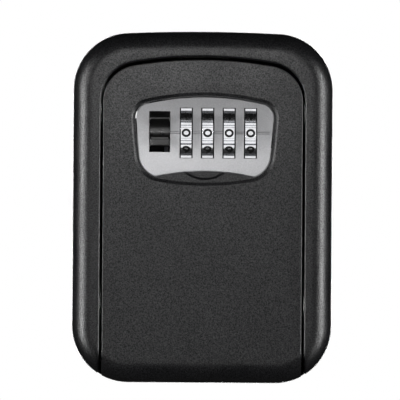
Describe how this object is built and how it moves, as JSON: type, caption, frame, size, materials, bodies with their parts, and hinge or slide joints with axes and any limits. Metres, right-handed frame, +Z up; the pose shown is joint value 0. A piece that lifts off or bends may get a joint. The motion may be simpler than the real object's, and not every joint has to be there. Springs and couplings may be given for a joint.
{
  "type": "key lock box",
  "caption": "Wall-mounted combination key safe: rounded black die-cast box with a drop-down door, silver dial panel, chrome number wheels and a thumb button.",
  "frame": {"origin": "centre of the four wall-screw holes, on the back face that lies against the wall", "axes": "+X to the right as seen from the front, +Z up, -Y out of the wall towards the reader"},
  "size_m": [0.085, 0.04, 0.115],
  "materials": {
    "powder_coat": "fine-textured black powder coat on die-cast zinc",
    "satin_silver": "satin silver lacquer on die-cast zinc",
    "black_plastic": "moulded black plastic, lightly worn",
    "bare_zinc": "bare die-cast zinc, tumbled",
    "dark_coat": "satin black enamel on pressed steel",
    "black_oxide": "black oxide finish on steel",
    "plated_steel": "bright zinc-plated steel",
    "spring_steel": "drawn spring steel wire and strip",
    "chrome": "bright chrome plate"
  },
  "bodies": {
    "case": {"shell": "powder_coat"},
    "door": {"door": "powder_coat", "hinge_pins": "black_oxide", "dial_panel": "satin_silver", "lock_housing": "bare_zinc", "inner_cover": "dark_coat", "cover_screws": "plated_steel", "wheel_shaft": "plated_steel", "detent_spring": "spring_steel", "bolt_spring": "spring_steel", "sleeve_spring": "spring_steel"},
    "latch": {"latch_bolt": "black_oxide", "open_button": "black_plastic"},
    "reset": {"reset_lever": "black_plastic"},
    "wheel_1": {"number_wheel_1": "chrome"},
    "wheel_2": {"number_wheel_2": "chrome"},
    "wheel_3": {"number_wheel_3": "chrome"},
    "wheel_4": {"number_wheel_4": "chrome"},
    "sleeve_1": {"code_sleeve_1": "black_oxide"},
    "sleeve_2": {"code_sleeve_2": "black_oxide"},
    "sleeve_3": {"code_sleeve_3": "black_oxide"},
    "sleeve_4": {"code_sleeve_4": "black_oxide"}
  },
  "joints": [
    {"name": "door_hinge", "type": "hinge", "parent": "case", "child": "door", "pos_m": [0, -0.034, -0.0485], "axis": [1, 0, 0], "range_deg": [0, 100]},
    {"name": "latch_slide", "type": "slide", "parent": "door", "child": "latch", "axis": [0, 0, 1], "range_m": [-0.0016, 0.002], "stiffness_N_per_m": 300, "springref_m": 0.002, "deforming": ["bolt_spring"]},
    {"name": "reset_slide", "type": "slide", "parent": "door", "child": "reset", "axis": [1, 0, 0], "range_m": [0, 0.0018], "stiffness_N_per_m": 300, "springref_m": -0.001, "deforming": ["sleeve_spring"]},
    {"name": "wheel_1_turn", "type": "hinge", "parent": "door", "child": "wheel_1", "pos_m": [0, -0.0308, 0.0242], "axis": [1, 0, 0], "continuous": true},
    {"name": "wheel_2_turn", "type": "hinge", "parent": "door", "child": "wheel_2", "pos_m": [0, -0.0308, 0.0242], "axis": [1, 0, 0], "continuous": true},
    {"name": "wheel_3_turn", "type": "hinge", "parent": "door", "child": "wheel_3", "pos_m": [0, -0.0308, 0.0242], "axis": [1, 0, 0], "continuous": true},
    {"name": "wheel_4_turn", "type": "hinge", "parent": "door", "child": "wheel_4", "pos_m": [0, -0.0308, 0.0242], "axis": [1, 0, 0], "continuous": true},
    {"name": "sleeve_1_turn", "type": "hinge", "parent": "reset", "child": "sleeve_1", "pos_m": [0, -0.0308, 0.0242], "axis": [1, 0, 0], "continuous": true},
    {"name": "sleeve_2_turn", "type": "hinge", "parent": "reset", "child": "sleeve_2", "pos_m": [0, -0.0308, 0.0242], "axis": [1, 0, 0], "continuous": true},
    {"name": "sleeve_3_turn", "type": "hinge", "parent": "reset", "child": "sleeve_3", "pos_m": [0, -0.0308, 0.0242], "axis": [1, 0, 0], "continuous": true},
    {"name": "sleeve_4_turn", "type": "hinge", "parent": "reset", "child": "sleeve_4", "pos_m": [0, -0.0308, 0.0242], "axis": [1, 0, 0], "continuous": true}
  ],
  "couplings": [
    {"joint": "sleeve_1_turn", "follows": "wheel_1_turn", "ratio": 1},
    {"joint": "sleeve_2_turn", "follows": "wheel_2_turn", "ratio": 1},
    {"joint": "sleeve_3_turn", "follows": "wheel_3_turn", "ratio": 1},
    {"joint": "sleeve_4_turn", "follows": "wheel_4_turn", "ratio": 1}
  ]
}
